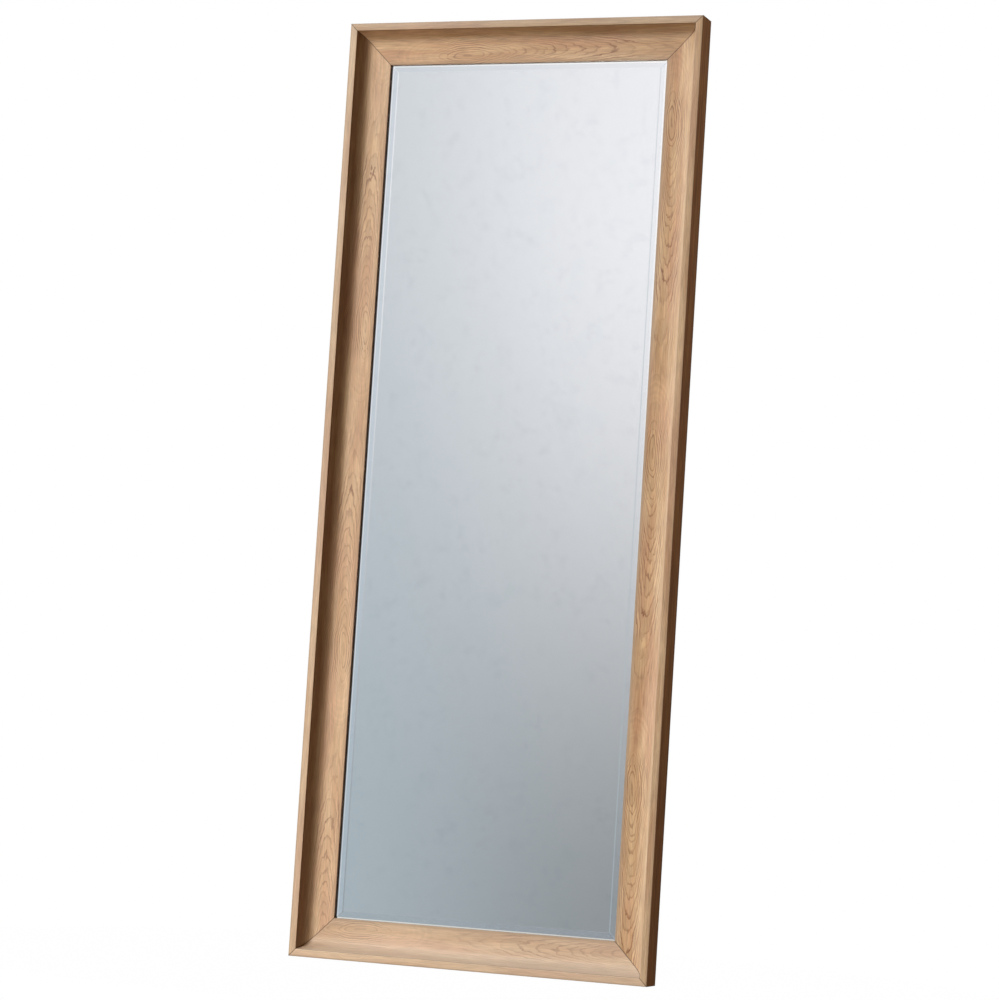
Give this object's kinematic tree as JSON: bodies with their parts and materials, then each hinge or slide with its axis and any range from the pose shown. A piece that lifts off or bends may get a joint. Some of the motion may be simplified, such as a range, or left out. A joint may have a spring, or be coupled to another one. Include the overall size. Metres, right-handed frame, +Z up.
{
  "type": "full-length mirror",
  "caption": "Tall leaner mirror: bevelled glass in a mitred cove frame of pale wood, with a board back, turn buttons, D-ring hangers, wall bumpers and feet.",
  "frame": {"origin": "centre of the overall box, on the floor plane under the bottom rail", "axes": "+X across to the right as seen from the front, +Y from the face to the back, +Z up the mirror; the face looks along -Y"},
  "size_m": [0.62, 0.052, 1.56],
  "materials": {
    "frame_wood": "satin",
    "clear_glass": "polished",
    "silvering": "polished",
    "card": "matte",
    "board": "matte",
    "setting_block": "matte",
    "zinc_steel": "satin",
    "button_steel": "satin",
    "ring_wire": "satin",
    "bumper_rubber": "matte"
  },
  "bodies": {
    "frame": {"left_stile": "frame_wood", "right_stile": "frame_wood", "top_rail": "frame_wood", "bottom_rail": "frame_wood", "mirror_glass": "clear_glass", "mirror_silvering": "silvering", "packing_card": "card", "back_board": "board", "glass_setting_blocks": "setting_block", "mitre_nails_bottom_left": "zinc_steel", "corner_brace_bottom_left": "zinc_steel", "mitre_nails_bottom_right": "zinc_steel", "corner_brace_bottom_right": "zinc_steel", "mitre_nails_top_right": "zinc_steel", "corner_brace_top_right": "zinc_steel", "mitre_nails_top_left": "zinc_steel", "corner_brace_top_left": "zinc_steel", "wall_bumper_left": "bumper_rubber", "wall_bumper_right": "bumper_rubber", "rubber_foot_left": "bumper_rubber", "rubber_foot_right": "bumper_rubber", "corner_brace_screws": "zinc_steel", "turn_button_screws": "zinc_steel", "hanger_screws": "zinc_steel", "hanger_strap_upright_left": "zinc_steel", "hanger_strap_upright_right": "zinc_steel", "hanger_strap_sideways_lower": "zinc_steel", "hanger_strap_sideways_upper": "zinc_steel"},
    "button_left_1": {"turn_button_left_1": "button_steel"},
    "button_right_1": {"turn_button_right_1": "button_steel"},
    "button_left_2": {"turn_button_left_2": "button_steel"},
    "button_right_2": {"turn_button_right_2": "button_steel"},
    "button_left_3": {"turn_button_left_3": "button_steel"},
    "button_right_3": {"turn_button_right_3": "button_steel"},
    "button_bottom_1": {"turn_button_bottom_1": "button_steel"},
    "button_top_1": {"turn_button_top_1": "button_steel"},
    "button_bottom_2": {"turn_button_bottom_2": "button_steel"},
    "button_top_2": {"turn_button_top_2": "button_steel"},
    "ring_upright_left": {"d_ring_upright_left": "ring_wire"},
    "ring_upright_right": {"d_ring_upright_right": "ring_wire"},
    "ring_sideways_lower": {"d_ring_sideways_lower": "ring_wire"},
    "ring_sideways_upper": {"d_ring_sideways_upper": "ring_wire"}
  },
  "joints": [
    {"name": "button_left_1_turn", "type": "hinge", "parent": "frame", "child": "button_left_1", "pos_m": [-0.262, 0.01885, 0.234], "axis": [0, 1, 0], "continuous": true},
    {"name": "button_right_1_turn", "type": "hinge", "parent": "frame", "child": "button_right_1", "pos_m": [0.262, 0.01885, 1.326], "axis": [0, 1, 0], "continuous": true},
    {"name": "button_left_2_turn", "type": "hinge", "parent": "frame", "child": "button_left_2", "pos_m": [-0.262, 0.01885, 0.78], "axis": [0, 1, 0], "continuous": true},
    {"name": "button_right_2_turn", "type": "hinge", "parent": "frame", "child": "button_right_2", "pos_m": [0.262, 0.01885, 0.78], "axis": [0, 1, 0], "continuous": true},
    {"name": "button_left_3_turn", "type": "hinge", "parent": "frame", "child": "button_left_3", "pos_m": [-0.262, 0.01885, 1.326], "axis": [0, 1, 0], "continuous": true},
    {"name": "button_right_3_turn", "type": "hinge", "parent": "frame", "child": "button_right_3", "pos_m": [0.262, 0.01885, 0.234], "axis": [0, 1, 0], "continuous": true},
    {"name": "button_bottom_1_turn", "type": "hinge", "parent": "frame", "child": "button_bottom_1", "pos_m": [0.124, 0.01885, 0.048], "axis": [0, 1, 0], "continuous": true},
    {"name": "button_top_1_turn", "type": "hinge", "parent": "frame", "child": "button_top_1", "pos_m": [-0.124, 0.01885, 1.512], "axis": [0, 1, 0], "continuous": true},
    {"name": "button_bottom_2_turn", "type": "hinge", "parent": "frame", "child": "button_bottom_2", "pos_m": [-0.124, 0.01885, 0.048], "axis": [0, 1, 0], "continuous": true},
    {"name": "button_top_2_turn", "type": "hinge", "parent": "frame", "child": "button_top_2", "pos_m": [0.124, 0.01885, 1.512], "axis": [0, 1, 0], "continuous": true},
    {"name": "ring_upright_left_swing", "type": "hinge", "parent": "frame", "child": "ring_upright_left", "pos_m": [-0.281, 0.02125, 1.2324], "axis": [1, 0, 0], "range_deg": [0, 180]},
    {"name": "ring_upright_right_swing", "type": "hinge", "parent": "frame", "child": "ring_upright_right", "pos_m": [0.281, 0.02125, 1.2324], "axis": [1, 0, 0], "range_deg": [0, 180]},
    {"name": "ring_sideways_lower_swing", "type": "hinge", "parent": "frame", "child": "ring_sideways_lower", "pos_m": [-0.297, 0.02125, 0.468], "axis": [0, 0, 1], "range_deg": [0, 180]},
    {"name": "ring_sideways_upper_swing", "type": "hinge", "parent": "frame", "child": "ring_sideways_upper", "pos_m": [-0.297, 0.02125, 1.092], "axis": [0, 0, 1], "range_deg": [0, 180]}
  ]
}
